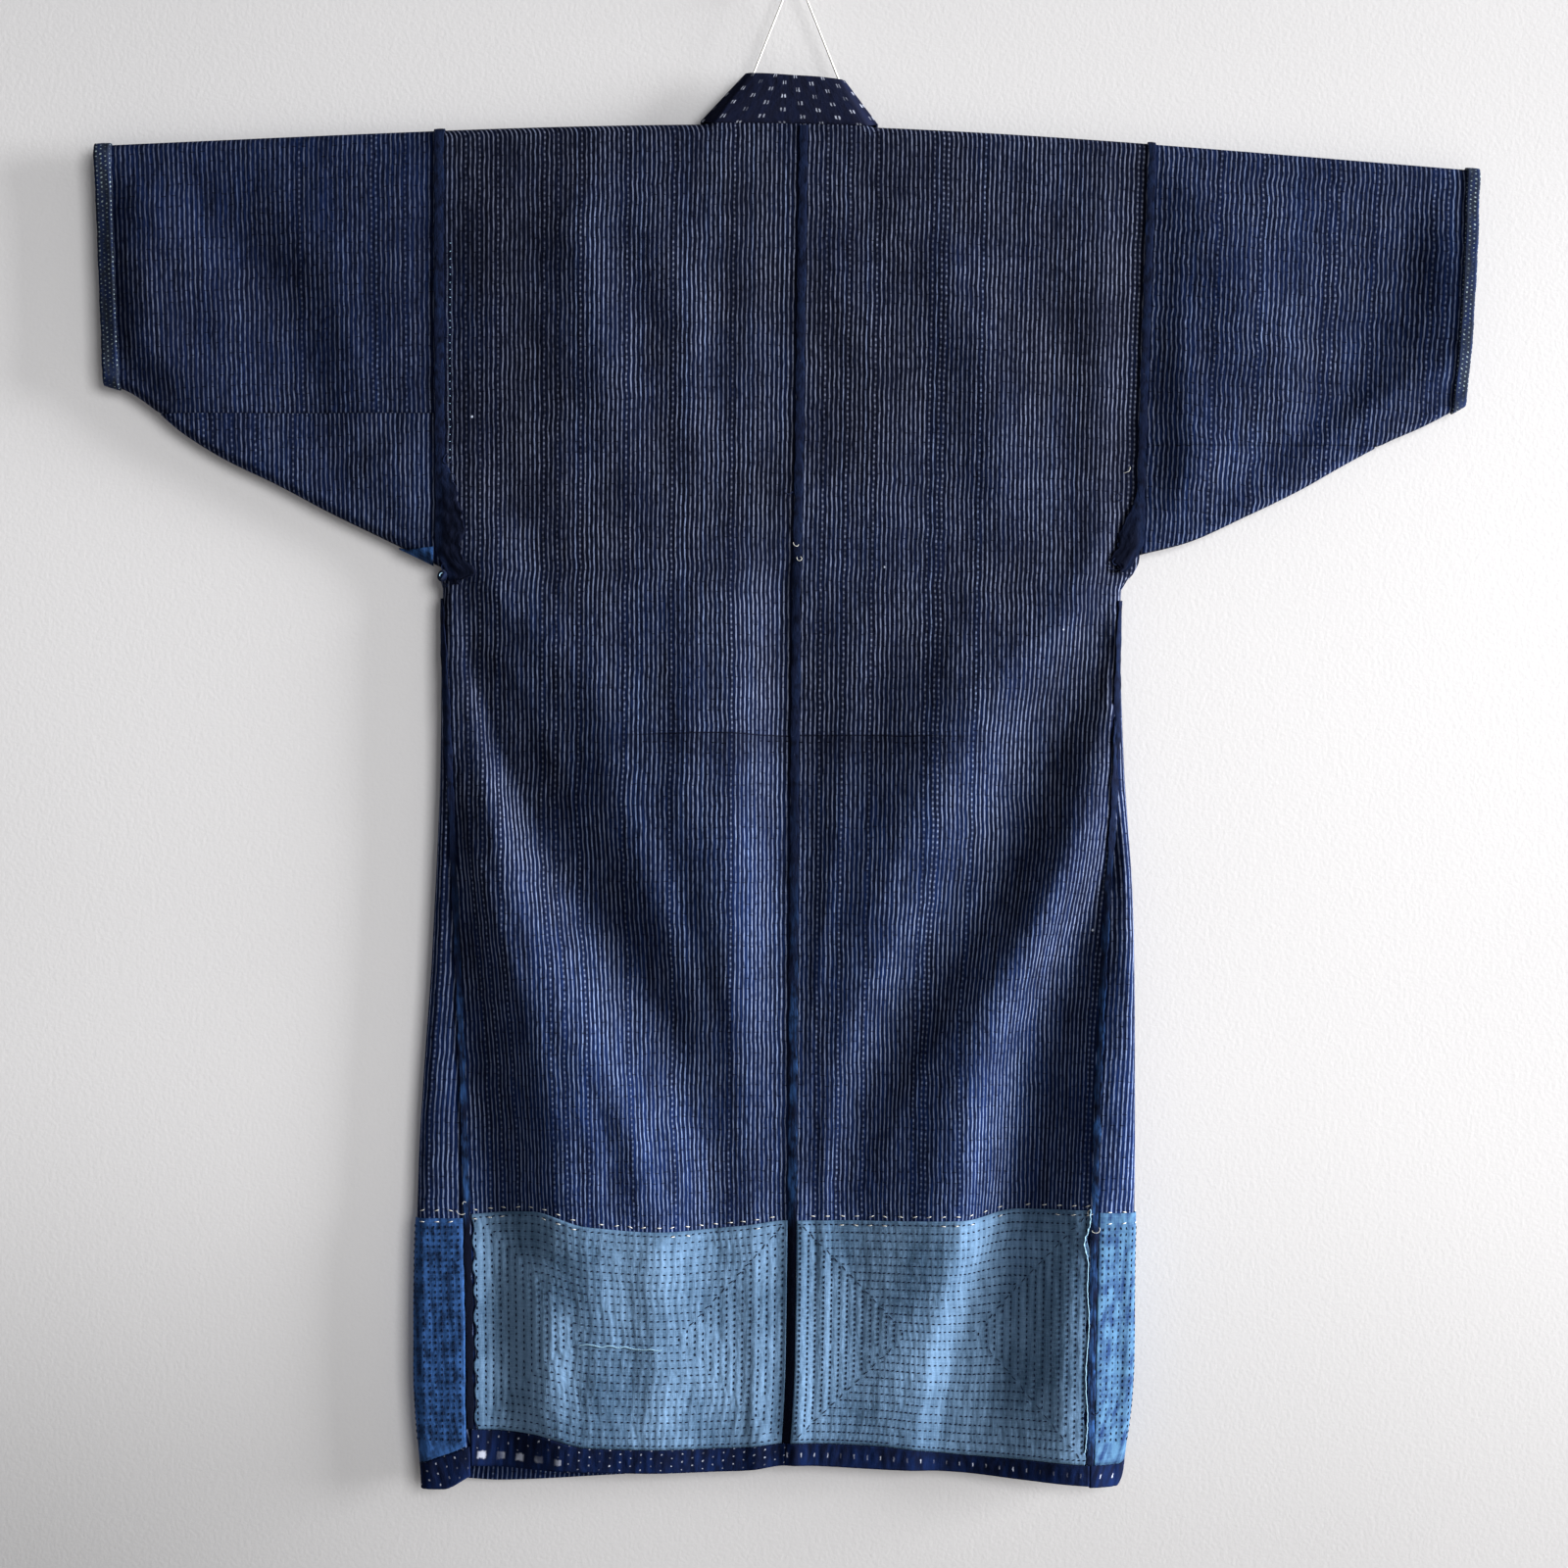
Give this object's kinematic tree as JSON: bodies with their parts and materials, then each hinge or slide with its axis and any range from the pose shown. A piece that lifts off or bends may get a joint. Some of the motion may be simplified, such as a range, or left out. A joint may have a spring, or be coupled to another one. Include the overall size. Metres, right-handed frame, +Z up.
{
  "type": "patched boro work robe on a hanging rod with its string and wall pin",
  "caption": "Long indigo-striped quilted work robe, patched at the hem, hung flat by a rod through its sleeves on a string over a wall pin.",
  "frame": {"origin": "on the axis of the wall pin, midway over its head and the wall, where the string's two legs would meet", "axes": "+Z up, out of the wall pin's support; the back of the robe faces -Y, its fronts and the wall are towards +Y, and -X is the wearer's left"},
  "size_m": [1.2422, 0.043, 1.357],
  "materials": {
    "indigo_stripe_cotton": "worn two-layer quilted cotton, narrow pale stripes on indigo",
    "dark_indigo_cotton": "dark indigo cotton tape, frayed at its edges",
    "indigo_ikat_cotton": "dark indigo cotton woven with small pale marks",
    "green_black_ikat_cotton": "green-black cotton with small pale dots",
    "faded_blue_cotton": "sun-faded light blue cotton with running stitches",
    "bright_blue_cotton": "unfaded blue cotton",
    "bamboo": "plain split bamboo",
    "white_string": "twisted white cotton string",
    "steel": "plain drawn steel"
  },
  "bodies": {
    "root": {"body_left": "indigo_stripe_cotton", "body_right": "indigo_stripe_cotton", "sleeve_left": "indigo_stripe_cotton", "sleeve_right": "indigo_stripe_cotton", "gusset_left": "indigo_stripe_cotton", "gusset_right": "indigo_stripe_cotton", "cuff_left": "green_black_ikat_cotton", "cuff_right": "green_black_ikat_cotton", "armhole_tape_left": "dark_indigo_cotton", "armhole_tape_right": "dark_indigo_cotton", "side_seam_tape_left": "dark_indigo_cotton", "side_seam_tape_right": "dark_indigo_cotton", "centre_seam_tape": "dark_indigo_cotton", "back_patch_left": "faded_blue_cotton", "back_patch_right": "faded_blue_cotton", "front_patch_left": "bright_blue_cotton", "front_patch_right": "bright_blue_cotton", "underarm_scrap_left": "bright_blue_cotton", "back_hem_band_left": "indigo_ikat_cotton", "back_hem_band_right": "indigo_ikat_cotton", "front_hem_band_left": "indigo_ikat_cotton", "front_hem_band_right": "indigo_ikat_cotton", "collar": "indigo_ikat_cotton", "hanging_rod": "bamboo", "hanging_string": "white_string", "string_loop_left": "white_string", "string_loop_right": "white_string", "wall_pin": "steel"}
  },
  "joints": []
}
